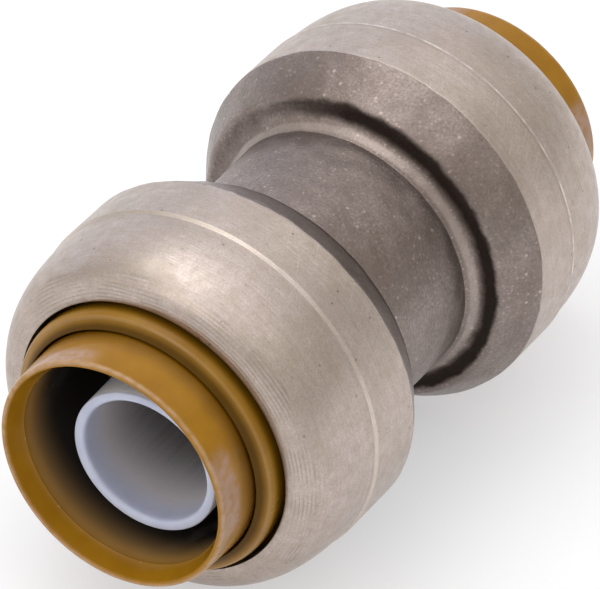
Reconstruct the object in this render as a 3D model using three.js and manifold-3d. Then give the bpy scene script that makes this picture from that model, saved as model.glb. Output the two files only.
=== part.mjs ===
// Push-to-connect coupling for 15.9 mm (1/2 in) tube: one brass body with a socket at each end.
// A socket holds an O-ring, its protector, a toothed grab ring, a collar retainer trapped by the
// brass mouth, a release collar that slides in it, and a plastic liner that stiffens the tube.
// Units are millimetres. +Y runs along the tube axis, +Z is up, and the origin is the middle of
// the waist. Every profile is a list of [radius, distance from the middle] points.

import * as THREE from 'three';
import { mergeVertices } from 'three/addons/utils/BufferGeometryUtils.js';
import Module from 'manifold-3d';

// ---- Driving dimensions ----

const FACETS = 36;            // sides of every turned piece
const GAP = 0.1;              // clearance between pieces that sit or slide together
const TUBE_R = 7.94;          // outer radius of the tube that the coupling takes
const HALF_LENGTH = 24.96;    // middle of the waist to a release collar's lip

// Brass body, outside
const WAIST_R = 10.1;
const WAIST_END = 4.97;       // crease where the waist meets its fillet
const FILLET_R = 10.99;
const BULB_BACK = 5.9;        // annular face behind each bulb
const SHOULDER_R = 12.3;
const BAND_R = 14.1;          // machined band, the widest part
const BAND_START = 8.75;
const BAND_END = 13.3;
const DOME_R = 13.93;         // the dome starts just below the band
const DOME_START = 13.5;
const MOUTH_R = 10.8;         // edge of the rolled-in mouth
const MOUTH = 20.04;

// Brass body, inside
const WATERWAY_R = 5.3;
const WEB_HALF = 0.5;         // half the thickness of the web between the two liners
const RECESS_R = 7.0;         // recess that holds a liner's flange
const TUBE_STOP = 1.5;        // shoulder that the tube's end meets
const POCKET_R = TUBE_R + 0.11;
const SEAT_FLOOR = 7.1;       // O-ring seat
const SEAT_R = 10.3;
const SOCKET_FLOOR = 12.0;    // wider socket for the grab ring and the retainer
const SOCKET_R = 12.2;
const ROLL_START = 17.7;      // where the wall starts to roll inwards
const ROLL_EDGE = 18.9;

// Ring pieces in a socket
const RING_R = 11.9;          // outer radius of what sits in the wide socket
const O_RING_SECTION_R = 1.25;
const O_RING_R = 8.95;        // centre line of its section
const PROTECTOR_BACK = 9.95;
const PROTECTOR_R = 8.2;
const PROTECTOR_CONE_R = 11;   // top of the cone under the teeth
const PROTECTOR_LIP = 0.65;   // thickness left at its inner edge
const GRAB_RING_BACK = 13.85;
const GRAB_RING_THICKNESS = 0.3;
const TOOTH_ROOT_R = 10.7;
const TOOTH_BITE = 0.19;      // how far a tooth's tip reaches into the tube's space
const TOOTH_SLOPE = 0.7;      // teeth lean towards the middle by this much for each mm inwards
const TOOTH_COUNT = 14;
const TOOTH_SLOT = 1.1;
const TOOTH_SLOT_END_R = 10.5;

// Collar retainer
const RETAINER_BACK = 14.2;
const RETAINER_BORE_R = 9.38;
const RETAINER_NECK_R = 10.5; // the neck stands in the brass mouth with a dark gap round it
const RETAINER_FLANGE_TOP = 17.5;
const FLANGE_BEVEL = [0.65, 0.5]; // across and along, where the flange meets the rolled wall
const CATCH_R = 10.15;        // counterbore that the collar's catch slides in
const CATCH_STOP = 16.4;
const RETAINER_ROUND = 20.14; // where its side starts to round over
const RETAINER_RIM = [10.1, 21.0]; // radius and distance where the round meets the sloping face
const RETAINER_FRONT = 21.4;
const RETAINER_EDGE = [0.15, 0.1]; // bevel at its bore, across and along

// Release collar
const COLLAR_BORE_R = TUBE_R + 0.25;
const COLLAR_SLEEVE_R = 9.27;
const COLLAR_LIP_R = 9.1;
const LIP_ROUND = 0.3;
const LIP_FLAT = [8.87, 8.72]; // outer and inner radius of the narrow flat on the lip
const LIP_INNER_R = 8.65;
const LIP_INNER_DROP = 0.07;
const LEAD_IN = 1.5;          // depth of the chamfer inside the lip
const COLLAR_NOSE = 13.4;
const NOSE_WALL = 0.3;
const NOSE_TAPER = 1.2;
const COLLAR_CATCH_R = 10.0;
const COLLAR_CATCH_WIDTH = 0.9;

// Tube liner
const LINER_R = 5.65;
const LINER_BORE_R = 4.9;
const LINER_LENGTH = 21.3;
const LINER_FLANGE_R = 6.5;
const LINER_FLANGE = 0.5;
const LINER_BEVEL = 0.15;

// At the near end the collar, its retainer and the grab ring sit off centre by their play in the
// socket, and the liner is loose in its recess: shifted and leaning towards one side.
const CARTRIDGE_SHIFT = { far: 0, near: 0.15 };
const CARTRIDGE_SIDE = new THREE.Vector3(0.8, 0, -0.6);
const LINER_RAISE = { far: 0.1, near: 0.35 };
const LINER_LEAN = { far: 0, near: THREE.MathUtils.degToRad(1.8) };
const LINER_SHIFT = { far: 0, near: 0.2 };
const LINER_SIDE = new THREE.Vector3(-0.85, 0, -0.52).normalize();

// ---- Materials ----

const finish = (color, roughness, metalness) => new THREE.MeshStandardMaterial({ color, roughness, metalness });
const brass = () => finish(0xc3b4a5, 0.35, 1);
const acetal = () => finish(0xa0732b, 0.3, 0);
const darkAcetal = () => finish(0x2a2825, 0.5, 0);
const steel = () => finish(0xb8babd, 0.25, 1);
const rubber = () => finish(0x161617, 0.7, 0);
const linerPlastic = () => finish(0xbfc4d2, 0.4, 0);

// ---- Shapes ----

// A quarter of a superellipse from [r0, d0], where it runs along the axis, to [r1, d1], where it
// runs across it. Exponents of 2 give an ellipse; higher ones are squarer and lower ones flatter.
function quarter([r0, d0], [r1, d1], steps, along = 2, across = along) {
  return Array.from({ length: steps + 1 }, (_, i) => {
    const turn = (i / steps) * Math.PI / 2;
    return [
      r1 + (r0 - r1) * Math.cos(turn) ** (2 / across),
      d0 + (d1 - d0) * Math.sin(turn) ** (2 / along),
    ];
  });
}

// A solid of revolution about Y from a closed profile that runs outwards on its outer side.
function turned(profile) {
  const points = [...profile, profile[0]].map(([r, d]) => new THREE.Vector2(r, d));
  return new THREE.LatheGeometry(points, FACETS);
}

// The outside of one half of the body, from the waist to the mouth's edge.
function bodyOutside() {
  return [
    [WAIST_R, WAIST_END],
    [FILLET_R, BULB_BACK],
    ...quarter([BAND_R, BAND_START], [SHOULDER_R, BULB_BACK], 5, 1.25).reverse(),
    [BAND_R, BAND_END],
    ...quarter([DOME_R, DOME_START], [MOUTH_R, MOUTH], 10, 2.37, 2.57),
  ];
}

// The inside of one half, from the mouth's edge to the web in the middle.
function bodyInside() {
  return [
    [MOUTH_R, ROLL_EDGE],
    ...quarter([SOCKET_R, ROLL_START], [MOUTH_R, ROLL_EDGE], 3).reverse().slice(1),
    [SOCKET_R, SOCKET_FLOOR],
    [SEAT_R, SOCKET_FLOOR],
    [SEAT_R, SEAT_FLOOR],
    [POCKET_R, SEAT_FLOOR],
    [POCKET_R, TUBE_STOP],
    [RECESS_R, TUBE_STOP],
    [RECESS_R, WEB_HALF],
    [WATERWAY_R, WEB_HALF],
  ];
}

function bodyGeometry() {
  const half = [...bodyOutside(), ...bodyInside()];
  const mirrored = half.map(([r, d]) => [r, -d]).reverse();
  return turned([...half, ...mirrored]);
}

function oRingGeometry() {
  const sides = 12;
  const middle = SEAT_FLOOR + GAP + O_RING_SECTION_R;
  const section = Array.from({ length: sides }, (_, i) => {
    const turn = (i / sides) * Math.PI * 2;
    return [O_RING_R + O_RING_SECTION_R * Math.cos(turn), middle + O_RING_SECTION_R * Math.sin(turn)];
  });
  return turned(section);
}

// A stepped ring whose conical face lets the teeth above it bend inwards.
function protectorGeometry() {
  const step = SOCKET_FLOOR + GAP / 2;
  const top = GRAB_RING_BACK - GAP / 2;
  return turned([
    [SEAT_R - GAP, PROTECTOR_BACK],
    [SEAT_R - GAP, step],
    [RING_R, step],
    [RING_R, top],
    [PROTECTOR_CONE_R, top],
    [PROTECTOR_R, PROTECTOR_BACK + PROTECTOR_LIP],
    [PROTECTOR_R, PROTECTOR_BACK],
  ]);
}

function retainerGeometry() {
  return turned([
    [RING_R, RETAINER_BACK],
    [RING_R, RETAINER_FLANGE_TOP - FLANGE_BEVEL[1]],
    [RING_R - FLANGE_BEVEL[0], RETAINER_FLANGE_TOP],
    [RETAINER_NECK_R, RETAINER_FLANGE_TOP],
    ...quarter([RETAINER_NECK_R, RETAINER_ROUND], RETAINER_RIM, 3),
    [RETAINER_BORE_R + RETAINER_EDGE[0], RETAINER_FRONT],
    [RETAINER_BORE_R, RETAINER_FRONT - RETAINER_EDGE[1]],
    [RETAINER_BORE_R, CATCH_STOP],
    [CATCH_R, CATCH_STOP],
    [CATCH_R, RETAINER_BACK],
  ]);
}

function collarGeometry() {
  const catchTop = CATCH_STOP - GAP;
  return turned([
    [COLLAR_BORE_R + NOSE_WALL, COLLAR_NOSE],
    [COLLAR_SLEEVE_R, COLLAR_NOSE + NOSE_TAPER],
    [COLLAR_SLEEVE_R, catchTop - COLLAR_CATCH_WIDTH],
    [COLLAR_CATCH_R, catchTop - COLLAR_CATCH_WIDTH],
    [COLLAR_CATCH_R, catchTop],
    [COLLAR_SLEEVE_R, catchTop],
    [COLLAR_SLEEVE_R, RETAINER_FRONT],
    ...quarter([COLLAR_LIP_R, HALF_LENGTH - LIP_ROUND], [LIP_FLAT[0], HALF_LENGTH], 3),
    [LIP_FLAT[1], HALF_LENGTH],
    [LIP_INNER_R, HALF_LENGTH - LIP_INNER_DROP],
    [COLLAR_BORE_R, HALF_LENGTH - LEAD_IN],
    [COLLAR_BORE_R, COLLAR_NOSE],
  ]);
}

// Starts at its flange's back face, with the tube that it stiffens sliding over it from the far end.
function linerGeometry() {
  return turned([
    [LINER_FLANGE_R, 0],
    [LINER_FLANGE_R, LINER_FLANGE],
    [LINER_R, LINER_FLANGE],
    [LINER_R, LINER_LENGTH - LINER_BEVEL],
    [LINER_R - LINER_BEVEL, LINER_LENGTH],
    [LINER_BORE_R + LINER_BEVEL, LINER_LENGTH],
    [LINER_BORE_R, LINER_LENGTH - LINER_BEVEL],
    [LINER_BORE_R, 0],
  ]);
}

// ---- Grab ring: a conical washer cut into teeth ----

const wasm = await Module();
wasm.setup();

function toManifold(geometry) {
  const bare = geometry.clone();
  bare.deleteAttribute('normal');
  bare.deleteAttribute('uv');
  const merged = mergeVertices(bare, 1e-4);
  return new wasm.Manifold(new wasm.Mesh({
    numProp: 3,
    vertProperties: new Float32Array(merged.attributes.position.array),
    triVerts: new Uint32Array(merged.index.array),
  }));
}

function toGeometry(manifold) {
  const mesh = manifold.getMesh();
  const geometry = new THREE.BufferGeometry();
  geometry.setAttribute('position', new THREE.BufferAttribute(mesh.vertProperties, 3));
  geometry.setIndex(new THREE.BufferAttribute(mesh.triVerts, 1));
  geometry.computeVertexNormals();
  return geometry;
}

function grabRingGeometry() {
  const front = GRAB_RING_BACK + GRAB_RING_THICKNESS;
  const tipR = TUBE_R - TOOTH_BITE;
  const drop = TOOTH_SLOPE * (TOOTH_ROOT_R - tipR);
  let ring = toManifold(turned([
    [RING_R, GRAB_RING_BACK],
    [RING_R, front],
    [TOOTH_ROOT_R, front],
    [tipR, front - drop],
    [tipR, GRAB_RING_BACK - drop],
    [TOOTH_ROOT_R, GRAB_RING_BACK],
  ]));
  const slotHeight = 4 * drop;
  for (let i = 0; i < TOOTH_COUNT; i += 1) {
    const slot = new THREE.BoxGeometry(TOOTH_SLOT, slotHeight, tipR);
    slot.translate(0, GRAB_RING_BACK, TOOTH_SLOT_END_R - tipR / 2);
    slot.rotateY((i / TOOTH_COUNT) * Math.PI * 2);
    ring = ring.subtract(toManifold(slot));
  }
  return toGeometry(ring);
}

// ---- Assembly ----

function piece(name, geometry, material) {
  const mesh = new THREE.Mesh(geometry, material);
  mesh.name = name;
  return mesh;
}

// The pieces that the rolled mouth traps.
function cartridge(end) {
  const group = new THREE.Group();
  group.add(
    piece(`${end}_grab_ring`, grabRingGeometry(), steel()),
    piece(`${end}_collar_retainer`, retainerGeometry(), acetal()),
    piece(`${end}_release_collar`, collarGeometry(), acetal()),
  );
  group.position.copy(CARTRIDGE_SIDE).multiplyScalar(CARTRIDGE_SHIFT[end]);
  return group;
}

// One socket's pieces, with the group's +Y pointing out of the mouth.
function socket(end) {
  const group = new THREE.Group();
  const liner = piece(`${end}_tube_liner`, linerGeometry(), linerPlastic());
  const lean = LINER_SIDE.clone().multiplyScalar(Math.tan(LINER_LEAN[end]));
  lean.y = 1;
  liner.quaternion.setFromUnitVectors(new THREE.Vector3(0, 1, 0), lean.normalize());
  liner.position.copy(LINER_SIDE).multiplyScalar(LINER_SHIFT[end]);
  liner.position.y = WEB_HALF + LINER_RAISE[end];
  group.add(
    piece(`${end}_o_ring`, oRingGeometry(), rubber()),
    piece(`${end}_o_ring_protector`, protectorGeometry(), darkAcetal()),
    cartridge(end),
    liner,
  );
  return group;
}

const coupling = new THREE.Group();
const farSocket = socket('far');
const nearSocket = socket('near');
nearSocket.rotation.z = Math.PI;
coupling.add(piece('body', bodyGeometry(), brass()), farSocket, nearSocket);

export default coupling;
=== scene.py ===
import math

import bpy
import numpy as np
from mathutils import Matrix, Vector, noise


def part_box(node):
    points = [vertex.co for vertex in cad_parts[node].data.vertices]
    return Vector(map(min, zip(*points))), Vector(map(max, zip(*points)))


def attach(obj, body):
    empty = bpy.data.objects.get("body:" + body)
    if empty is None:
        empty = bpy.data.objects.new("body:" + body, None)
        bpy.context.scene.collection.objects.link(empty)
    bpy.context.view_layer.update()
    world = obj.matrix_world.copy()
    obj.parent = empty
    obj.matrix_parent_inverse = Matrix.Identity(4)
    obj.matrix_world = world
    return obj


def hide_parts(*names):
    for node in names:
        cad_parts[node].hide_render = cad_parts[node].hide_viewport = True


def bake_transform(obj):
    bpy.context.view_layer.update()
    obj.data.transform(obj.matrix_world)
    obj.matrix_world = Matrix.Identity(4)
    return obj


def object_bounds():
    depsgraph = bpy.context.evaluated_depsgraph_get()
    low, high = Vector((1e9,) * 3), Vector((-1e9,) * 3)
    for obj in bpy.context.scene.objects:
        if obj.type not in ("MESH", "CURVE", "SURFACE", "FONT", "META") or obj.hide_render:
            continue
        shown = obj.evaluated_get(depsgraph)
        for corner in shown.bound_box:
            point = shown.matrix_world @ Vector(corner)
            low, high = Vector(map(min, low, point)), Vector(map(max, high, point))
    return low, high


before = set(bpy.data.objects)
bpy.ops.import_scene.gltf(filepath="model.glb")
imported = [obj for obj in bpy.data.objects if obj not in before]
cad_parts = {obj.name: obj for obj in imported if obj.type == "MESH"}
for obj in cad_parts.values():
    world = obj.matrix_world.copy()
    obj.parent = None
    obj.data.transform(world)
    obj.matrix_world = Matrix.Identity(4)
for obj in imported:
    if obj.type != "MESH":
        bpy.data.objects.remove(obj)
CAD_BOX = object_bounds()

MM = 0.001
SIDES = 256                  # round every turned surface
EDGE = 0.05                  # usual rounding of an edge
STEP = 0.3                   # longest straight stretch between two rings of a turned surface
SHARP = math.radians(50)     # edges that turn more than this stay sharp
GAP = 0.1                    # clearance between pieces that sit or slide together
TAU = 2 * math.pi
SIGN = {"near": -1, "far": 1}

# ---- Camera and stage ----

VIEW_AZIMUTH = 32.22         # degrees from looking along +Y, turning towards -X
VIEW_ELEVATION = 37.27
VIEW_DISTANCE = 414.24
VIEW_SHIFT = (0.53, 0.49)    # how far right and up of the picture's middle the origin lies
LENS = 351.0
SENSOR = 36                  # its width
FLOOR_SIZE = 8000
FLOOR_GREY = 0.54
FLOOR_GLOW = (0.99, 1.0, 1.03)
FLOOR_GLOW_STRENGTH = 0.42   # with the light on it, just enough for white out of the shadow

# ---- The body's outline, beyond what the frame's boxes say ----

WAIST_R = 10.1
WAIST_END = 4.97
FILLET_R = 10.99
HOLLOW_ROUND = 1.4           # how the flare out of the waist turns into the bulb's back face
BULB_BACK = 5.9
SHOULDER_R = 12.3
SHOULDER_ROLL = 0.35         # rounding of the shoulder's edge
BAND_START = 8.75
BLANK_END = 10.6             # the forging is everywhere wider than the cut from here on
BAND_END = 13.3
DOME_R = 13.93
DOME_START = 13.5
DOME_STEPS = 64
DOME_SQUARENESS = (2.37, 2.57)  # exponents of its superellipse, along and across the axis
MOUTH_R = 10.8
GROOVED_R = 12.8             # tool marks show from this radius in to the mouth
GROOVE_DEPTH = 0.0042
GROOVE_PITCH = 0.28          # the cutting tool's feed at each turn
WATERWAY_R = 5.3
WEB_HALF = 0.5
RECESS_R = 7.0
TUBE_STOP = 1.5
POCKET_R = 8.05
SEAT_FLOOR = 7.1
SEAT_R = 10.3
SOCKET_FLOOR = 12.0
SOCKET_R = 12.2
ROLL_START = 17.7
ROLL_EDGE = 18.9
# The forged skin sits off the turning axis by this much, across and up.
FORGING_OFFSET = {"near": (0.02, -0.33), "far": (-0.07, -0.25)}
# Unevenness of the forged skin: height, size of the lumps, seed.
FORGING_LUMPS = [(0.06, 5.0, 1.7), (0.05, 1.3, 5.1), (0.012, 0.55, 9.3)]

# ---- Outlines of the ring pieces, beyond their boxes ----

RETAINER_BORE_R = 9.38
RETAINER_NECK_R = 10.5
RETAINER_FLANGE_TOP = 17.5
FLANGE_BEVEL = (0.65, 0.5)   # across and along
CATCH_R = 10.15
CATCH_STOP = 16.4
RETAINER_ROUND = 20.14
RETAINER_RIM = (10.1, 21.0)
COLLAR_BORE_R = 8.19
COLLAR_SLEEVE_R = 9.27
COLLAR_SHOULDER = 21.4       # where the sleeve starts to narrow towards its lip
COLLAR_LIP_R = 9.1
LIP_ROUND = 0.3
LIP_FLAT = (8.87, 8.72)      # outer and inner radius of the narrow flat on the lip
LEAD_IN_R = 8.63
NOSE_WALL = 0.26             # thin enough to clear the bent teeth
NOSE_TAPER = 1.2
CATCH_WIDTH = 0.9
LEAD_IN = 1.5
BEAD_HEIGHT = 0.035          # the fine mould line round the bore, at the end of the lead-in
BEAD_WIDTH = 0.14
TOOTH_ROOT_R = 10.7
TOOTH_TIP_R = 7.75
TOOTH_SLOPE = 0.7
TOOTH_COUNT = 14
TOOTH_SLOT = 1.1
TOOTH_BEND_END = 11.4        # where the teeth would follow the collar all the way
SLOT_END_R = 10.5
RING_THICKNESS = 0.3
PROTECTOR_R = 8.2
PROTECTOR_CONE_R = 11.0
PROTECTOR_LIP = 0.65
PROTECTOR_STEP = 12.05
O_RING_FLASH = (0.03, 0.12)  # how far the flash line stands out, and its half width
LINER_R = 5.65
LINER_BORE_R = 4.9
LINER_FLANGE_R = 6.5
LINER_FLANGE = 0.5


# ---- Reading the frame ----

def extent(node):
    """Where a turned node's axis crosses y = 0, its outer radius, and its two ends' distances."""
    low, high = (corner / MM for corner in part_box(node))
    ends = sorted((abs(low.y), abs(high.y)))
    return (low + high) / 2, (high.x - low.x) / 2, ends[0], ends[1]


_, BAND_R, _, MOUTH = extent("body")


def socket_place(end, axis):
    """Takes a socket's coordinates, with +Y out of its mouth, to the row frame."""
    turn = Matrix.Rotation(math.pi if end == "near" else 0, 4, "Z")
    return Matrix.Translation((axis.x, 0, axis.z)) @ turn


def leaning_place(node, end):
    """The same for a node that leans, from its own points: its back face's middle and its axis."""
    points = np.array([v.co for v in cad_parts[node].data.vertices]) / MM
    middle = points.mean(0)
    along = np.linalg.svd(points - middle, full_matrices=False)[2][0]
    along = along * np.sign(along[1]) * SIGN[end]
    reach = (points - middle) @ along
    axis = Vector(along)
    turn = Vector((0, 1, 0)).rotation_difference(axis).to_matrix().to_4x4()
    return Matrix.Translation(Vector(middle + along * reach.min())) @ turn, np.ptp(reach)


# ---- Outlines ----

def quarter(start, end, steps, along=2.0, across=2.0):
    """A quarter of a superellipse that leaves start along the axis and meets end across it."""
    turns = np.linspace(0, math.pi / 2, steps + 1)
    fall = np.maximum(np.cos(turns), 0) ** (2 / across)
    rise = np.sin(turns) ** (2 / along)
    return [
        (end[0] + (start[0] - end[0]) * f, start[1] + (end[1] - start[1]) * r, 0)
        for f, r in zip(fall, rise)
    ]


def rounded(outline, closed=True, steps=4):
    """The outline with its corners rounded, each one by its own radius or by EDGE."""
    smooth = []
    corners = [np.array(point[:2], float) for point in outline]
    radii = [point[2] if len(point) > 2 else EDGE for point in outline]
    for i, (corner, radius) in enumerate(zip(corners, radii)):
        inside = closed or 0 < i < len(corners) - 1
        if not inside or radius == 0:
            smooth.append(corner)
            continue
        back = corners[i - 1] - corner
        ahead = corners[(i + 1) % len(corners)] - corner
        lengths = np.linalg.norm(back), np.linalg.norm(ahead)
        between = math.acos(np.clip(back @ ahead / (lengths[0] * lengths[1]), -1, 1))
        cut = min(radius / math.tan(between / 2), 0.48 * lengths[0], 0.48 * lengths[1])
        start = corner + back / lengths[0] * cut
        end = corner + ahead / lengths[1] * cut
        for t in np.linspace(0, 1, steps + 1):
            smooth.append((1 - t) ** 2 * start + 2 * t * (1 - t) * corner + t * t * end)
    return smooth


def spaced(outline, step=STEP, closed=True):
    """The outline with its long stretches cut into steps."""
    points = []
    count = len(outline) if closed else len(outline) - 1
    for i in range(count):
        start = np.array(outline[i][:2], float)
        end = np.array(outline[(i + 1) % len(outline)][:2], float)
        pieces = max(1, math.ceil(np.linalg.norm(end - start) / step))
        points += [start + (end - start) * k / pieces for k in range(pieces)]
    if not closed:
        points.append(np.array(outline[-1][:2], float))
    return np.array(points)


# ---- Meshes ----

def swept(outline):
    """Rows of points: each outline point's ring round Y."""
    turn = np.linspace(0, TAU, SIDES, endpoint=False)
    radius = outline[:, 0][:, None]
    along = np.broadcast_to(outline[:, 1][:, None], (len(outline), SIDES))
    return np.stack([radius * np.cos(turn), along, radius * np.sin(turn)], axis=-1)


def ring_faces(rows, sides):
    """Quads over rows of rings, closed both ways, that face outwards."""
    i, j = np.meshgrid(np.arange(rows), np.arange(sides), indexing="ij")
    up, round_ = (i + 1) % rows, (j + 1) % sides
    quads = [i * sides + j, up * sides + j, up * sides + round_, i * sides + round_]
    return np.stack(quads, axis=-1).reshape(-1, 4)


def make_piece(name, points, faces, place, material, body, slot, replaced):
    """A piece in the row frame that rides on a body and stands for a CAD node."""
    mesh = bpy.data.meshes.new(name)
    mesh.from_pydata((points.reshape(-1, 3) * MM).tolist(), [], faces.tolist())
    moved = Matrix.Translation(place.to_translation() * MM) @ place.to_3x3().to_4x4()
    mesh.transform(moved)
    mesh.shade_smooth()
    mesh.set_sharp_from_angle(angle=SHARP)
    mesh.materials.append(material)
    piece = bpy.data.objects.new(name, mesh)
    bpy.context.scene.collection.objects.link(piece)
    if body:
        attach(piece, body)
    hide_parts(replaced)
    return piece


def mark(piece, name, values):
    """Gives a material a number at each of the piece's points."""
    attribute = piece.data.attributes.new(name, "FLOAT", "POINT")
    attribute.data.foreach_set("value", np.ravel(values).astype(np.float32))


def make_turned(name, outline, *details):
    """A piece turned from a closed outline; the details are make_piece()'s, from place on."""
    points = swept(spaced(outline))
    return make_piece(name, points, ring_faces(*points.shape[:2]), *details)


# ---- Materials ----

class Surface:
    """A Principled material, with short calls that add its nodes. Sizes are in millimetres."""

    def __init__(self, name, metallic=0.0):
        self.material = bpy.data.materials.new(name)
        self.material.use_nodes = True
        self.tree = self.material.node_tree
        self.shader = self.tree.nodes["Principled BSDF"]
        self.shader.inputs["Metallic"].default_value = metallic
        where = self.add("ShaderNodeTexCoord").outputs["Object"]
        scale = {0: where, "Scale": 1 / MM}
        self.place = self.add("ShaderNodeVectorMath", scale, operation="SCALE").outputs[0]
        apart = self.add("ShaderNodeSeparateXYZ", {0: self.place})
        self.x, self.y, self.z = apart.outputs
        self.depth = self.math("ABSOLUTE", self.y)
        self.radius = self.math("SQRT", self.sum_of_squares(self.x, self.z))

    def add(self, kind, inputs=(), **properties):
        node = self.tree.nodes.new(kind)
        for key, value in properties.items():
            setattr(node, key, value)
        for key, value in dict(inputs).items():
            self.feed(node.inputs[key], value)
        return node

    def feed(self, socket, value):
        if isinstance(value, bpy.types.NodeSocket):
            self.tree.links.new(value, socket)
        else:
            socket.default_value = value

    def set(self, **values):
        """Feeds the shader's sockets, such as base_color."""
        for key, value in values.items():
            title = " ".join(word.capitalize() for word in key.split("_"))
            self.feed(self.shader.inputs[title.replace("Ior", "IOR")], value)

    def mark(self, name):
        """The number that each point of the piece was given under this name."""
        return self.add("ShaderNodeAttribute", attribute_name=name).outputs["Fac"]

    def math(self, operation, *values):
        return self.add("ShaderNodeMath", enumerate(values), operation=operation).outputs[0]

    def sum_of_squares(self, a, b):
        return self.math("ADD", self.math("MULTIPLY", a, a), self.math("MULTIPLY", b, b))

    def remap(self, value, low, high, to_low=0.0, to_high=1.0):
        ends = {"Value": value, "From Min": low, "From Max": high}
        ends.update({"To Min": to_low, "To Max": to_high})
        return self.add("ShaderNodeMapRange", ends).outputs[0]

    def fade(self, value, low, high):
        """0 before low and 1 after high, with a soft step between; high may be the lesser."""
        ends = {"Value": value, "From Min": low, "From Max": high}
        return self.add("ShaderNodeMapRange", ends, interpolation_type="SMOOTHSTEP").outputs[0]

    def times(self, *factors):
        product = factors[0]
        for factor in factors[1:]:
            product = self.math("MULTIPLY", product, factor)
        return product

    def toward(self, bearing):
        """1 on the side at this bearing round the axis (0 is +X, 90 is up), -1 opposite it."""
        turn = math.radians(bearing)
        across, up = self.times(self.x, math.cos(turn)), self.times(self.z, math.sin(turn))
        return self.math("DIVIDE", self.math("ADD", across, up), self.radius)

    def noise(self, size, detail=2.0, where=None):
        """Noise from 0 to 1, its lumps about this size."""
        inputs = {"Vector": where or self.place, "Scale": 1 / size, "Detail": detail}
        return self.add("ShaderNodeTexNoise", inputs).outputs[0]

    def rings(self, size, drift, detail=2.0):
        """Noise that runs round the axis in rings, drifting slowly as it goes."""
        across = self.add("ShaderNodeCombineXYZ", {
            0: self.radius,
            1: self.y,
            2: self.math("MULTIPLY", self.x, drift),
        }).outputs[0]
        inputs = {"Vector": across, "W": self.math("MULTIPLY", self.z, drift)}
        inputs.update({"Scale": 1 / size, "Detail": detail})
        return self.add("ShaderNodeTexNoise", inputs, noise_dimensions="4D").outputs[0]

    def streaks(self, size, drift, detail=2.0):
        """Noise that runs along the axis in streaks."""
        along = self.add("ShaderNodeCombineXYZ", {
            0: self.x,
            1: self.math("MULTIPLY", self.y, drift),
            2: self.z,
        }).outputs[0]
        return self.noise(size, detail, along)

    def scratches(self, slant, size, length, share):
        """Straight hairlines over the turned surface, slanting at this angle off its rings."""
        round_ = self.math("MULTIPLY", self.math("ARCTAN2", self.z, self.x), BAND_R)
        cos, sin = math.cos(math.radians(slant)), math.sin(math.radians(slant))
        along = self.math("ADD", self.times(round_, cos), self.times(self.y, sin))
        off = self.math("SUBTRACT", self.times(self.y, cos), self.times(round_, sin))
        place = {0: self.times(along, size / length), 1: off, 2: self.radius}
        height = self.noise(size, 1.0, self.add("ShaderNodeCombineXYZ", place).outputs[0])
        return self.fade(height, 0.80 - 0.2 * share, 0.84 - 0.2 * share)

    def specks(self, cell, share, size):
        """Spots of up to this size, at most one to a cell, in this share of the cells."""
        inputs = {"Vector": self.place, "Scale": 1 / cell}
        voronoi = self.add("ShaderNodeTexVoronoi", inputs)
        chosen = self.remap(voronoi.outputs["Color"], 1 - share, 1 - share + 0.02)
        spot = self.remap(voronoi.outputs["Distance"], 0.3 * size / cell, size / cell, 1.0, 0.0)
        return self.math("MULTIPLY", chosen, spot)

    def mix(self, factor, a, b):
        a, b = (c if isinstance(c, bpy.types.NodeSocket) else (*c, 1.0) for c in (a, b))
        node = self.add("ShaderNodeMix", {0: factor, 6: a, 7: b}, data_type="RGBA")
        return node.outputs[2]

    def blend(self, factor, a, b):
        return self.add("ShaderNodeMix", {0: factor, 2: a, 3: b}).outputs[0]

    def bump(self, height, depth):
        """The normal over a height from 0 to 1 that stands for this depth."""
        inputs = {"Height": height, "Distance": depth * MM, "Strength": 1.0}
        return self.add("ShaderNodeBump", inputs).outputs[0]


def brass():
    """Dezincification-resistant brass: turned and forged skins, told apart by an attribute."""
    s = Surface("brass", metallic=1.0)
    below = s.mark("below_the_cut")
    ragged = s.math("ADD", below, s.remap(s.noise(0.35), 0, 1, -0.02, 0.02))
    forged = s.remap(ragged, -0.008, 0.012)
    turned_colour, turned_rough, turned_relief = turned_skin(s)
    forged_colour, forged_rough, forged_relief = forged_skin(s)
    s.set(
        base_color=s.mix(forged, turned_colour, forged_colour),
        roughness=s.blend(forged, turned_rough, forged_rough),
        normal=s.bump(s.blend(forged, turned_relief, forged_relief), 0.012),
    )
    return s.material


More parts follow.
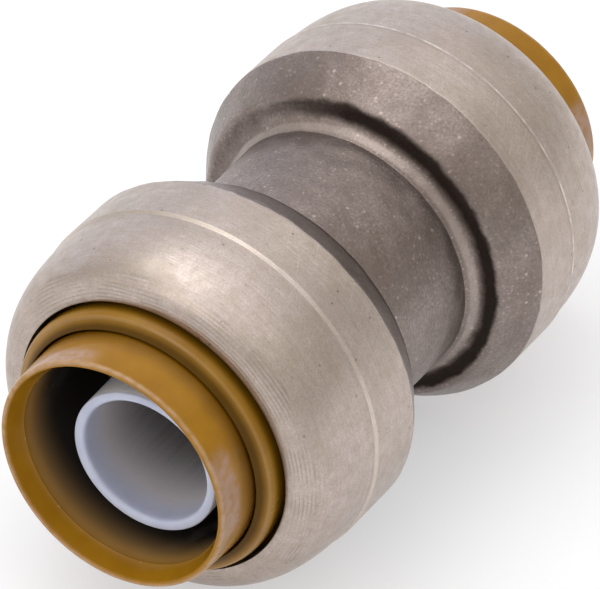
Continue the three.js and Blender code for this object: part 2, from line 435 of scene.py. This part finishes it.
def turned_skin(s):
    """Tool marks round the axis, stronger towards the mouth, over a mottled skin worn by handling.
    """
    broad = s.noise(5.0, 3.0)
    mottle = s.noise(0.8, 4.0)
    grain = s.noise(0.15, 2.0)
    hairlines = s.rings(0.09, 0.04)
    dashes = s.fade(s.rings(0.13, 0.22), 0.62, 0.72)
    worn = s.fade(s.noise(2.8, 3.0), 0.50, 0.70)
    furrow = s.fade(s.mark("tool_mark"), 0.1, -0.6)
    pits = s.specks(1.0, 0.4, 0.13)
    steep, shallow = s.scratches(62, 0.07, 3.0, 0.5), s.scratches(-35, 0.07, 2.2, 0.45)
    scratches = s.math("MAXIMUM", steep, shallow)
    # The raised crest where each band meets its dome is painted bright all round: a painted
    # highlight.
    crest = s.times(s.fade(s.depth, 13.24, 13.32), s.fade(s.depth, 13.56, 13.48))
    crest = s.times(crest, s.fade(s.radius, 13.6, 13.8), s.remap(mottle, 0.35, 0.65, 0.5, 1.0))
    # The far one also gets a thin painted highlight along it, with a line of painted shade beside
    # it.
    far_crest_highlight = s.times(s.fade(s.y, 13.12, 13.18), s.fade(s.y, 13.34, 13.28), s.remap(mottle, 0.4, 0.6))
    far_crest_shade = s.times(s.fade(s.y, 12.86, 13.0), s.fade(s.y, 13.14, 13.08))

    colour = s.mix(s.remap(broad, 0.35, 0.65), (0.49, 0.410, 0.366), (0.59, 0.506, 0.463))
    colour = s.mix(s.remap(s.noise(6.5), 0.42, 0.62, 0.0, 0.55), colour, (0.570, 0.487, 0.477))
    colour = s.mix(s.remap(mottle, 0.35, 0.7, 0.0, 0.55), colour, (0.43, 0.352, 0.292))
    colour = s.mix(s.remap(grain, 0.4, 0.7, 0.0, 0.50), colour, (0.35, 0.29, 0.245))
    colour = s.mix(s.remap(hairlines, 0.4, 0.7, 0.0, 0.40), colour, (0.35, 0.29, 0.245))
    colour = s.mix(s.times(worn, 0.35), colour, (0.40, 0.335, 0.275))
    colour = s.mix(s.times(dashes, s.remap(worn, 0, 1, 0.12, 0.5)), colour, (0.22, 0.18, 0.15))
    colour = s.mix(s.times(furrow, 0.40), colour, (0.24, 0.195, 0.16))
    colour = s.mix(s.times(scratches, 0.32), colour, (0.72, 0.64, 0.57))
    colour = s.mix(s.times(pits, 0.75), colour, (0.16, 0.13, 0.105))
    colour = s.mix(s.times(crest, 0.55), colour, (0.74, 0.66, 0.58))
    colour = s.mix(s.times(far_crest_shade, 0.35), colour, (0.30, 0.25, 0.21))
    colour = s.mix(s.times(far_crest_highlight, 0.75), colour, (0.82, 0.75, 0.70))

    rough = s.remap(mottle, 0.3, 0.7, 0.33, 0.43)
    rough = s.math("ADD", rough, s.remap(broad, 0.3, 0.7, -0.03, 0.03))
    rough = s.blend(crest, rough, 0.26)

    relief = s.math("ADD", s.times(hairlines, 0.4), s.times(grain, 0.5))
    cuts = s.math("ADD", s.times(dashes, 0.3), s.times(scratches, 0.4))
    relief = s.math("SUBTRACT", relief, s.math("ADD", pits, cuts))
    return colour, rough, relief


def forged_skin(s):
    """Shot-blasted forging: a grainy, tarnished skin with bright facets. Painted shade darkens the
    hollow behind each bulb, more on the +X side. A painted highlight lies on the flare out of the
    waist, and painted shade darkens the edge of the near shoulder."""
    tarnish = s.noise(3.2, 4.0)
    blotch = s.noise(0.55, 2.0)
    grain = s.noise(0.2, 3.0)
    fine_facets = s.times(s.specks(0.3, 0.4, 0.13), s.remap(s.noise(1.3), 0.38, 0.6, 0.10, 0.28))
    facets = s.math("MAXIMUM", fine_facets, s.times(s.specks(0.8, 0.35, 0.17), 0.50))

    # Painted shade, near black, in the hollow behind each bulb; weaker on the -X side, and rougher
    # there.
    wander = s.remap(s.noise(1.1, 3.0), 0.3, 0.7, -0.1, 0.1)
    inner = s.math("SUBTRACT", s.math("ADD", s.radius, wander), s.remap(s.x, 3.0, 11.0, 0.0, 0.25))
    outer = s.math("ADD", s.radius, s.times(wander, 1.2))
    hollow_shade = s.times(s.fade(inner, 10.4, 11.1), s.fade(outer, 12.27, 11.85))
    hollow_shade = s.times(hollow_shade, s.fade(s.depth, 6.4, 6.1), s.remap(s.x, -6.0, -0.5, 0.2, 0.90))
    # A painted highlight on the flare out of the waist, set a little further out on the +X side.
    leaning = s.math("SUBTRACT", s.depth, s.times(s.x, 0.013))
    flare = s.times(s.fade(leaning, 5.0, 5.2), s.fade(leaning, 5.62, 5.4))
    flare = s.times(flare, s.remap(tarnish, 0.35, 0.65, 0.42, 0.22))
    # Painted shade: a dark band round the edge of the near shoulder.
    edge = s.times(s.fade(s.y, -6.75, -6.45), s.fade(s.y, -5.4, -5.6), s.fade(s.radius, 11.7, 11.9))

    colour = s.mix(s.remap(tarnish, 0.35, 0.65), (0.245, 0.196, 0.178), (0.328, 0.272, 0.252))
    colour = s.mix(s.remap(blotch, 0.35, 0.65, 0.0, 0.25), colour, (0.180, 0.148, 0.134))
    colour = s.mix(s.remap(grain, 0.3, 0.7, 0.0, 0.58), colour, (0.155, 0.123, 0.107))
    colour = s.mix(facets, colour, (0.66, 0.56, 0.51))
    colour = s.mix(flare, colour, (0.55, 0.47, 0.43))
    colour = s.mix(s.times(edge, 0.75), colour, (0.050, 0.038, 0.036))
    colour = s.mix(hollow_shade, colour, (0.030, 0.020, 0.015))

    rough = s.blend(facets, s.remap(grain, 0.3, 0.7, 0.36, 0.48), 0.3)
    rough = s.math("SUBTRACT", rough, s.times(s.fade(s.radius, 12.0, 12.35), 0.07))
    rough = s.blend(flare, rough, 0.28)
    rough = s.blend(hollow_shade, rough, 0.8)

    relief = s.math("ADD", s.times(grain, 1.6), s.noise(0.09))
    relief = s.math("ADD", relief, s.times(facets, 0.6))
    return colour, rough, relief


def acetal(name, pale, deep, roughness):
    """Glossy moulded acetal: faint flow marks, dust specks and a mottle of handling."""
    s = Surface(name)
    cloud = s.noise(2.4, 3.0)
    flow = s.streaks(0.5, 0.25)
    dust = s.specks(0.9, 0.3, 0.10)
    rubbed = s.fade(s.noise(1.1, 4.0), 0.55, 0.72)
    colour = s.mix(s.remap(cloud, 0.35, 0.65), deep, pale)
    colour = s.mix(s.remap(flow, 0.45, 0.75, 0.0, 0.22), colour, deep)
    colour = s.mix(s.times(dust, 0.35), colour, (0.62, 0.48, 0.30))
    rough = s.remap(cloud, 0.3, 0.7, roughness - 0.03, roughness + 0.03)
    rough = s.math("ADD", rough, s.times(rubbed, 0.10))
    relief = s.math("ADD", s.times(dust, 0.8), s.times(flow, 0.3))
    s.set(roughness=rough, normal=s.bump(relief, 0.003), specular_ior_level=0.20)
    return s, colour


def collar_acetal():
    """Ochre, whitened along its lip, with painted reflections as pale patches on two sides. Painted
    shade darkens its bore, after a paler band, and its foot, less of it on the upper side."""
    s, colour = acetal("collar_acetal", (0.330, 0.155, 0.008), (0.285, 0.130, 0.006), 0.13)
    outside = s.fade(s.radius, 8.7, 8.95)
    uneven = s.remap(s.noise(0.6, 3.0), 0.35, 0.6, 0.35, 0.8)
    chafed = s.times(s.fade(s.depth, 24.55, 24.85), uneven)
    # Painted reflections: pale patches on the sleeve's outside, at bearings 120 and 8.
    reflection_at_120 = s.times(s.fade(s.toward(120), 0.92, 0.98), s.fade(s.depth, 23.1, 23.9))
    reflection_at_8 = s.times(s.fade(s.toward(8), 0.90, 0.97), s.fade(s.depth, 22.6, 23.4))
    painted_reflections = s.times(s.math("MAXIMUM", reflection_at_120, reflection_at_8), s.remap(uneven, 0.35, 0.8, 0.35, 0.72))
    colour = s.mix(s.times(painted_reflections, outside), colour, (0.38, 0.25, 0.20))
    colour = s.mix(s.times(chafed, outside), colour, (0.46, 0.30, 0.18))
    # Painted shade at the foot of the sleeve, less of it on the upper side.
    foot_shade = s.remap(s.toward(70), 0.65, 0.97, 0.85, 0.58)
    colour = s.mix(s.times(s.fade(s.depth, 23.1, 21.2), foot_shade), colour, (0.045, 0.014, 0.001))
    # Down the bore: a paler, greyer band by the lead-in, then painted shade, near black further in.
    in_bore = s.fade(s.radius, 8.8, 8.6)
    paler_in_bore = s.times(in_bore, s.fade(s.depth, 24.0, 22.6), 0.45)
    bore_shade = s.times(in_bore, s.fade(s.depth, 23.3, 19.6))
    colour = s.mix(bore_shade, s.mix(paler_in_bore, colour, (0.42, 0.27, 0.12)), (0.026, 0.022, 0.019))
    s.set(base_color=colour)
    return s.material


def retainer_acetal():
    """A darker ochre; painted shade by the collar and the body, a faint painted highlight on its
    ridge.
    """
    s, colour = acetal("retainer_acetal", (0.290, 0.143, 0.010), (0.250, 0.118, 0.007), 0.17)
    on_land = s.fade(s.depth, 20.72, 20.9)
    # Painted shade in the corners by the collar and by the body, which is also less specular on the
    # land.
    by_collar = s.times(s.fade(s.radius, 10.15, 9.6), 0.74)
    by_body = s.times(s.fade(s.depth, 20.75, 19.9), 0.62)
    corner_shade = s.blend(on_land, by_body, by_collar)
    # A faint painted highlight along the ridge, which is also more specular.
    ridge = s.times(s.fade(s.radius, 9.96, 10.14), s.fade(s.radius, 10.36, 10.26), on_land)
    colour = s.mix(corner_shade, colour, (0.030, 0.013, 0.001))
    s.set(
        base_color=s.mix(s.times(ridge, 0.10), colour, (0.50, 0.38, 0.24)),
        specular_ior_level=s.blend(s.times(corner_shade, on_land), s.blend(ridge, 0.20, 0.34), 0.05),
    )
    return s.material


def stainless():
    """Spring steel strip, brushed along the strip and a little browned by the forming oil."""
    s = Surface("stainless", metallic=1.0)
    brushed = s.rings(0.05, 0.05, 3.0)
    film = s.noise(1.6, 3.0)
    colour = s.mix(s.remap(film, 0.4, 0.7), (0.60, 0.60, 0.61), (0.50, 0.48, 0.45))
    rough = s.remap(brushed, 0.3, 0.7, 0.18, 0.34)
    s.set(base_color=colour, roughness=rough, normal=s.bump(brushed, 0.002))
    return s.material


def dark_acetal():
    """The O-ring protector: matt, with fine spark-eroded mould texture."""
    s = Surface("dark_acetal")
    grain = s.noise(0.12, 2.0)
    colour = s.mix(s.noise(1.5), (0.018, 0.017, 0.016), (0.032, 0.030, 0.028))
    rough = s.remap(grain, 0.3, 0.7, 0.42, 0.58)
    s.set(base_color=colour, roughness=rough, normal=s.bump(grain, 0.008))
    return s.material


def rubber():
    """EPDM seal with a film of silicone grease and a faint bloom."""
    s = Surface("rubber")
    bloom = s.noise(1.1, 4.0)
    grain = s.noise(0.07, 2.0)
    colour = s.mix(s.remap(bloom, 0.45, 0.8), (0.010, 0.010, 0.011), (0.045, 0.045, 0.047))
    rough = s.remap(bloom, 0.3, 0.7, 0.30, 0.62)
    s.set(base_color=colour, roughness=rough, normal=s.bump(grain, 0.005))
    return s.material


def polyethylene():
    """Milky liner plastic, faint lengthwise draw lines; painted light outside, painted shade down
    its bore.
    """
    s = Surface("polyethylene")
    down_bore = s.mark("down_bore")
    draw = s.streaks(0.30, 0.04, 3.0)
    haze = s.noise(2.2, 2.0)
    specks = s.specks(0.7, 0.25, 0.10)
    # Lit and shaded copies of one plastic: palest outside, bluish grey on the rim, and a grey
    # inside that darkens down the bore as painted shade.
    outside = s.mix(s.remap(haze, 0.35, 0.65), (0.76, 0.79, 0.86), (0.82, 0.85, 0.91))
    rim = s.mix(s.remap(haze, 0.35, 0.65), (0.46, 0.495, 0.64), (0.51, 0.545, 0.68))
    deep = s.mix(s.remap(draw, 0.35, 0.65), (0.225, 0.208, 0.210), (0.30, 0.278, 0.280))
    inside = s.mix(s.fade(down_bore, 1.6, 9.0), (0.61, 0.59, 0.615), deep)
    colour = s.mix(s.fade(down_bore, -0.3, 0.0), outside, rim)
    colour = s.mix(s.fade(down_bore, 0.5, 3.0), colour, inside)
    colour = s.mix(s.times(specks, 0.3), colour, (0.25, 0.22, 0.20))
    s.set(
        base_color=colour,
        roughness=s.remap(draw, 0.3, 0.7, 0.34, 0.46),
        normal=s.bump(draw, 0.004),
        subsurface_weight=0.7,
        subsurface_radius=(1.0, 1.0, 1.0),
        subsurface_scale=1.0 * MM,
    )
    return s.material


# ---- The brass body ----

def shoulder_r(along):
    """The forged shoulder's radius, as if it went on past the cut."""
    share = (along - BULB_BACK) / (BAND_START - BULB_BACK)
    edge = np.clip(1 - (along - BULB_BACK) / SHOULDER_ROLL, 0, 1)
    roll = SHOULDER_ROLL * (1 - np.sqrt(1 - edge ** 2))
    return SHOULDER_R + (BAND_R - SHOULDER_R) * share * (1.12 - 0.12 * share) - roll


def body_half():
    """Rings of one half, from the waist's middle round the mouth to the web inside: radius,
    distance, 1 where forged, 1 where the forging may stand below the cut, 1 where grooved."""
    rows = []

    def stretch(points, forged=0, cut=0, grooved=0):
        skip = 1 if rows else 0
        rows.extend((*point[:2], forged, cut, grooved) for point in points[skip:])

    waist = [
        (WAIST_R, 0),
        (WAIST_R, WAIST_END, 0.12),
        (FILLET_R, BULB_BACK, HOLLOW_ROUND),
        (SHOULDER_R - SHOULDER_ROLL, BULB_BACK),
    ]
    stretch(spaced(rounded(waist, closed=False, steps=8), 0.25, closed=False), forged=1)
    roll = BULB_BACK + SHOULDER_ROLL * (1 - np.cos(np.linspace(0, math.pi / 2, 8)))
    along = [*roll, *np.arange(roll[-1], BLANK_END, 0.17)[1:]]
    stretch([(BAND_R, d) for d in along], forged=1, cut=1)
    before_crest = (BAND_R, BAND_END - 0.12)
    stretch(spaced([(BAND_R, along[-1]), before_crest], 0.6, closed=False))
    crest = [before_crest, (BAND_R, BAND_END, 0.03), (DOME_R, DOME_START, 0.04)]
    dome = quarter((DOME_R, DOME_START), (MOUTH_R, MOUTH), DOME_STEPS, *DOME_SQUARENESS)
    stretch(rounded([*crest, dome[2]], closed=False, steps=3)[:-1])
    grooves_from = next(i for i, point in enumerate(dome) if point[0] < GROOVED_R)
    stretch([dome[2], *dome[2:grooves_from:3]])
    stretch(spaced(dome[grooves_from:-2], GROOVE_PITCH / 4, closed=False), grooved=1)
    inside = [
        dome[-3],
        (MOUTH_R, MOUTH, 0.12),
        (MOUTH_R, ROLL_EDGE),
        *quarter((SOCKET_R, ROLL_START), (MOUTH_R, ROLL_EDGE), 5)[-2::-1],
        (SOCKET_R, SOCKET_FLOOR),
        (SEAT_R, SOCKET_FLOOR),
        (SEAT_R, SEAT_FLOOR),
        (POCKET_R, SEAT_FLOOR),
        (POCKET_R, TUBE_STOP),
        (RECESS_R, TUBE_STOP),
        (RECESS_R, WEB_HALF),
        (WATERWAY_R, WEB_HALF),
    ]
    stretch(spaced(rounded(inside, closed=False, steps=2), 1.6, closed=False))
    return np.array(rows, float)


def lumps(points, size, seed):
    """Smooth noise from about -1 to 1 at each point, its lumps about this size."""
    shift = Vector((seed, 2 * seed, 3 * seed))
    return np.array([noise.noise(Vector(p) / size + shift) for p in points.reshape(-1, 3)])


def make_body():
    """Both halves in one mesh. The forged skin is off centre and uneven, and is cut back to the
    turned band where it would stand beyond it."""
    half = body_half()
    near = half[::-1].copy()
    near[:, 1] *= -1
    rings = np.concatenate([near, half[1:]])
    outline, forged, cut, grooved = rings[:, :2], rings[:, 2], rings[:, 3], rings[:, 4]
    ahead = np.roll(outline, -1, 0) - np.roll(outline, 1, 0)
    across = np.stack([ahead[:, 1], -ahead[:, 0]], 1) / np.linalg.norm(ahead, axis=1)[:, None]

    points = swept(outline)
    shape = points.shape[:2]
    turn = np.linspace(0, TAU, SIDES, endpoint=False)
    swell = sum(height * lumps(points, size, seed) for height, size, seed in FORGING_LUMPS)
    swell = swell.reshape(shape)
    share = np.clip(outline[:, 1] / (2 * WAIST_END) + 0.5, 0, 1)[:, None]
    offsets = [np.array(FORGING_OFFSET[end]) for end in ("near", "far")]
    offset = offsets[0] * (1 - share) + offsets[1] * share
    lean = offset[:, :1] * np.cos(turn) + offset[:, 1:] * np.sin(turn)

    radius = np.broadcast_to(outline[:, :1], shape) + forged[:, None] * lean
    along = np.broadcast_to(outline[:, 1:], shape)
    radius = radius + forged[:, None] * swell * across[:, :1]
    along = along + (forged * (1 - cut))[:, None] * swell * across[:, 1:]
    blank = shoulder_r(np.abs(outline[:, 1]))[:, None] + lean + swell
    below = np.where(cut[:, None] > 0, BAND_R - blank, np.where(forged > 0, 1, -1)[:, None])
    radius = np.where(cut[:, None] > 0, np.minimum(blank, BAND_R), radius)

    # Tool marks: a wave along the outline that wavers round the axis and comes in patches.
    length = np.cumsum(np.linalg.norm(np.diff(outline, axis=0, prepend=outline[:1]), axis=1))
    waver = lumps(points, 3.5, 6.1).reshape(shape)
    patchy = np.clip(0.45 + 2.2 * lumps(points, 2.2, 3.3).reshape(shape), 0.08, 1)
    uneven = 0.7 + 0.6 * lumps(points, 0.4, 8.2).reshape(shape)
    tool_mark = np.sin(TAU * length[:, None] / GROOVE_PITCH + 3 * waver) * patchy * uneven
    tool_mark = tool_mark * grooved[:, None]
    radius = radius + GROOVE_DEPTH * tool_mark * across[:, :1]
    along = along + GROOVE_DEPTH * tool_mark * across[:, 1:]

    points = np.stack([radius * np.cos(turn), along, radius * np.sin(turn)], axis=-1)
    place = Matrix.Identity(4)
    faces = ring_faces(*shape)
    body = make_piece("brass_body", points, faces, place, BRASS, "root", "brass", "body")
    mark(body, "below_the_cut", below)
    mark(body, "tool_mark", tool_mark)


# ---- The pieces in a socket ----

def make_o_ring(end):
    """A moulded ring with the fine flash line that its two mould halves leave."""
    node = f"{end}_o_ring"
    axis, outer, back, front = extent(node)
    section = (front - back) / 2
    middle = outer - section, back + section
    flash, flash_width = O_RING_FLASH
    outline = []
    for turn in np.linspace(0, TAU, 48, endpoint=False):
        swell = flash * math.exp(-((math.sin(turn) * section / flash_width) ** 2))
        reach = section - flash + swell
        outline.append((middle[0] + reach * math.cos(turn), middle[1] + reach * math.sin(turn), 0))
    place = socket_place(end, axis)
    make_turned(f"{end}_rubber_o_ring", outline, place, RUBBER, "root", "seal_rubber", node)


def make_protector(end):
    """A stepped ring, coned under the grab ring's teeth."""
    node = f"{end}_o_ring_protector"
    axis, outer, back, front = extent(node)
    outline = rounded([
        (SEAT_R - GAP, back, 0.2),
        (SEAT_R - GAP, PROTECTOR_STEP),
        (outer, PROTECTOR_STEP, 0.15),
        (outer, front, 0.15),
        (PROTECTOR_CONE_R, front, 0.2),
        (PROTECTOR_R, back + PROTECTOR_LIP, 0.35),
        (PROTECTOR_R, back, 0.2),
    ])
    place = socket_place(end, axis)
    name = f"{end}_stepped_protector"
    make_turned(name, outline, place, DARK_ACETAL, "root", "protector_acetal", node)


def make_grab_ring(end):
    """A washer of spring steel cut into teeth, which on the real ring bend as the collar pushes
    them; here they stand at a fixed slope.
    """
    node = f"{end}_grab_ring"
    axis, outer, _, front = extent(node)
    half_slot = TOOTH_SLOT / 2
    slot_bottom = SLOT_END_R - half_slot
    radii = [
        outer,
        *np.linspace(outer - 0.04, SLOT_END_R + 0.02, 6),
        *(slot_bottom + half_slot * np.sin(np.linspace(math.pi / 2, 0, 7))),
        *np.linspace(slot_bottom, TOOTH_TIP_R, 14)[1:],
    ]
    pitch = TAU / TOOTH_COUNT
    across = np.linspace(-1, 1, 11)
    tops = []
    for tooth in range(TOOTH_COUNT):
        for r in radii:
            reach = min(max(r - slot_bottom, 0), half_slot)
            slot = math.sqrt(half_slot ** 2 - reach ** 2) if r < SLOT_END_R else 0
            half_width = pitch / 2 - math.asin(slot / r)
            drop = TOOTH_SLOPE * max(TOOTH_ROOT_R - r, 0)
            for u in across:
                turn = tooth * pitch + u * half_width
                tops.append((r * math.cos(turn), front - drop, r * math.sin(turn)))
    tops = np.array(tops)
    points = np.concatenate([tops, tops - (0, RING_THICKNESS, 0)])
    rows, columns, under = len(radii), len(across), len(tops)

    def walls(edge):
        return [(a, b, b + under, a + under) for a, b in zip(edge, edge[1:])]

    faces = []
    for tooth in range(TOOTH_COUNT):
        at = np.arange(rows * columns).reshape(rows, columns) + tooth * rows * columns
        slot_row = next(i for i, r in enumerate(radii) if r <= SLOT_END_R)
        for i in range(rows - 1):
            for j in range(columns - 1):
                quad = at[i, j], at[i, j + 1], at[i + 1, j + 1], at[i + 1, j]
                faces.append(quad)
                faces.append(tuple(k + under for k in quad[::-1]))
        faces += walls(at[0, ::-1]) + walls(at[-1])
        faces += walls(at[slot_row:, 0][::-1]) + walls(at[slot_row:, -1])
    place = socket_place(end, axis)
    name = f"{end}_toothed_grab_ring"
    faces = np.array(faces)
    ring = make_piece(name, points, faces, place, STAINLESS, None, "stainless", node)
    weld_and_soften(ring)
    shift = Vector((axis.x, 0, axis.z)) * MM
    reach = shift + Vector((0, SIGN[end] * TOOTH_BEND_END * MM, 0))
    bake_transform(ring)


def weld_and_soften(ring):
    """Joins the teeth to one washer and takes the sharpness off its stamped edges."""
    weld = ring.modifiers.new("weld", "WELD")
    weld.merge_threshold = 0.004 * MM
    bevel = ring.modifiers.new("soft_edges", "BEVEL")
    bevel.width = 0.03 * MM
    bevel.segments = 2
    bevel.limit_method = "ANGLE"
    bevel.angle_limit = SHARP


def make_retainer(end):
    """A ring that the rolled mouth traps by its flange, with a counterbore for the catch."""
    node = f"{end}_collar_retainer"
    axis, outer, back, front = extent(node)
    outline = rounded([
        (outer, back, 0.15),
        (outer, RETAINER_FLANGE_TOP - FLANGE_BEVEL[1]),
        (outer - FLANGE_BEVEL[0], RETAINER_FLANGE_TOP),
        (RETAINER_NECK_R, RETAINER_FLANGE_TOP, 0.15),
        *quarter((RETAINER_NECK_R, RETAINER_ROUND), RETAINER_RIM, 12),
        (RETAINER_BORE_R + 0.08, front, 0.08),
        (RETAINER_BORE_R, front - 0.1, 0.08),
        (RETAINER_BORE_R, CATCH_STOP),
        (CATCH_R, CATCH_STOP),
        (CATCH_R, back),
    ])
    place = socket_place(end, axis)
    details = place, RETAINER_ACETAL, "root", "retainer_acetal", node
    make_turned(f"{end}_acetal_retainer", outline, *details)


def make_collar(end):
    """A sleeve with a tapered nose for the teeth, a catch, and a lip with a lead-in."""
    node = f"{end}_release_collar"
    axis, catch_r, nose, lip = extent(node)
    catch_top = CATCH_STOP - GAP
    outline = rounded([
        (COLLAR_BORE_R + NOSE_WALL, nose, 0.1),
        (COLLAR_SLEEVE_R, nose + NOSE_TAPER, 0.2),
        (COLLAR_SLEEVE_R, catch_top - CATCH_WIDTH, 0.1),
        (catch_r, catch_top - CATCH_WIDTH, 0.15),
        (catch_r, catch_top, 0.1),
        (COLLAR_SLEEVE_R, catch_top, 0.1),
        (COLLAR_SLEEVE_R, COLLAR_SHOULDER, 0.3),
        *quarter((COLLAR_LIP_R, lip - LIP_ROUND), (LIP_FLAT[0], lip), 8),
        (LIP_FLAT[1], lip, 0.07),
        (LEAD_IN_R, lip - 0.12, 0.2),
        (COLLAR_BORE_R, lip - LEAD_IN, 0.1),
        (COLLAR_BORE_R - BEAD_HEIGHT, lip - LEAD_IN - BEAD_WIDTH / 2),
        (COLLAR_BORE_R, lip - LEAD_IN - BEAD_WIDTH, 0.1),
        (COLLAR_BORE_R, nose, 0.1),
    ])
    place = socket_place(end, axis)
    details = place, COLLAR_ACETAL, f"{end}_collar", "collar_acetal", node
    make_turned(f"{end}_acetal_collar", outline, *details)


def make_liner(end):
    """A flanged tube, standing as its node does; the near one leans."""
    node = f"{end}_tube_liner"
    place, length = leaning_place(node, end)
    outline = rounded([
        (LINER_FLANGE_R, 0, 0.1),
        (LINER_FLANGE_R, LINER_FLANGE, 0.1),
        (LINER_R, LINER_FLANGE, 0.15),
        (LINER_R, length, 0.14),
        (LINER_BORE_R, length, 0.38),
        (LINER_BORE_R, 0, 0.1),
    ])
    outline = spaced(outline)
    points = swept(outline)
    faces = ring_faces(*points.shape[:2])
    details = place, POLYETHYLENE, "root", "liner_polyethylene", node
    liner = make_piece(f"{end}_plastic_liner", points, faces, *details)
    in_bore = outline[:, 0] < (LINER_BORE_R + LINER_R) / 2
    from_rim = length - outline[:, 1]
    mark(liner, "down_bore", np.repeat(np.where(in_bore, from_rim, -from_rim), SIDES))


# ---- Studio ----

def make_camera():
    azimuth, elevation = math.radians(VIEW_AZIMUTH), math.radians(VIEW_ELEVATION)
    turn = Matrix.Rotation(azimuth, 3, "Z") @ Matrix.Rotation(math.pi / 2 - elevation, 3, "X")
    right, up, back = turn.col
    data = bpy.data.cameras.new("camera")
    data.sensor_width = SENSOR
    data.lens = LENS
    data.clip_start, data.clip_end = 0.01, 20
    camera = bpy.data.objects.new("camera", data)
    offset = VIEW_DISTANCE * back - VIEW_SHIFT[0] * right - VIEW_SHIFT[1] * up
    camera.matrix_world = Matrix.Translation(offset * MM) @ turn.to_4x4()
    bpy.context.scene.collection.objects.link(camera)
    bpy.context.scene.camera = camera


def make_floor():
    """A plain pale floor, faintly lit from below, that the coupling's two bulbs stand on."""
    half = FLOOR_SIZE / 2
    level = CAD_BOX[0].z / MM
    mesh = bpy.data.meshes.new("floor")
    corners = [(-half, -half), (half, -half), (half, half), (-half, half)]
    mesh.from_pydata([(x * MM, y * MM, level * MM) for x, y in corners], [], [(0, 1, 2, 3)])
    s = Surface("floor")
    s.set(base_color=(*[FLOOR_GREY] * 3, 1.0), roughness=0.9, specular_ior_level=0.0)
    s.set(emission_color=(*FLOOR_GLOW, 1.0), emission_strength=FLOOR_GLOW_STRENGTH)
    mesh.materials.append(s.material)
    floor = bpy.data.objects.new("floor", mesh)
    bpy.context.scene.collection.objects.link(floor)


# Each light's name, direction, distance, size and tint.
SOFTBOXES = [
    ("overhead", (-0.28, 0.07, 0.95), 450, 290, (0.95, 0.99, 1.03)),
    ("front", (-0.15, -0.68, 0.72), 500, 240, (1.0, 0.99, 0.97)),
]
SOFTBOX_RADIANCE = 1.2


def make_softbox(name, direction, distance, size, tint):
    """A square area light that faces the origin from this direction."""
    data = bpy.data.lights.new(name, "AREA")
    data.shape = "SQUARE"
    data.size = size * MM
    data.energy = SOFTBOX_RADIANCE * math.pi * data.size ** 2
    data.color = tint
    light = bpy.data.objects.new(name, data)
    away = Vector(direction).normalized()
    light.location = away * distance * MM
    light.rotation_mode = "QUATERNION"
    light.rotation_quaternion = away.to_track_quat("Z", "Y")
    bpy.context.scene.collection.objects.link(light)


# Soft light from all round: each lobe is a direction, the cosines from it at which the lobe
# starts and is full, and its radiance.
SURROUND = (0.67, 0.65, 0.61)
LOBES = [
    ((0.0, 0.0, 1.0), 0.42, 1.00, (1.42, 1.40, 1.38)),
    ((-0.66, 0.75, -0.05), 0.40, 0.90, (1.06, 1.09, 1.18)),
    ((-0.50, -0.79, 0.35), 0.72, 0.95, (1.05, 1.03, 1.00)),
]


def make_surround():
    world = bpy.data.worlds.new("surround")
    world.use_nodes = True
    bpy.context.scene.world = world
    tree = world.node_tree
    where = tree.nodes.new("ShaderNodeTexCoord")
    background = tree.nodes["Background"]
    background.inputs["Color"].default_value = (*SURROUND, 1.0)
    light = None
    for direction, start, full, radiance in LOBES:
        dot = tree.nodes.new("ShaderNodeVectorMath")
        dot.operation = "DOT_PRODUCT"
        dot.inputs[1].default_value = Vector(direction).normalized()
        share = tree.nodes.new("ShaderNodeMapRange")
        share.interpolation_type = "SMOOTHSTEP"
        share.inputs["From Min"].default_value = start
        share.inputs["From Max"].default_value = full
        mix = tree.nodes.new("ShaderNodeMix")
        mix.data_type = "RGBA"
        mix.inputs[6].default_value = (*SURROUND, 1.0)
        mix.inputs[7].default_value = (*radiance, 1.0)
        tree.links.new(where.outputs["Generated"], dot.inputs[0])
        tree.links.new(dot.outputs["Value"], share.inputs["Value"])
        tree.links.new(share.outputs[0], mix.inputs[0])
        if light:
            tree.links.new(light, mix.inputs[6])
        light = mix.outputs[2]
    tree.links.new(light, background.inputs["Color"])


BRASS = brass()
COLLAR_ACETAL = collar_acetal()
RETAINER_ACETAL = retainer_acetal()
STAINLESS = stainless()
DARK_ACETAL = dark_acetal()
RUBBER = rubber()
POLYETHYLENE = polyethylene()

make_camera()
make_floor()
make_surround()
for softbox in SOFTBOXES:
    make_softbox(*softbox)

make_body()
for socket in SIGN:
    make_o_ring(socket)
    make_protector(socket)
    make_grab_ring(socket)
    make_retainer(socket)
    make_collar(socket)
    make_liner(socket)

bpy.context.scene.view_settings.view_transform = "Standard"
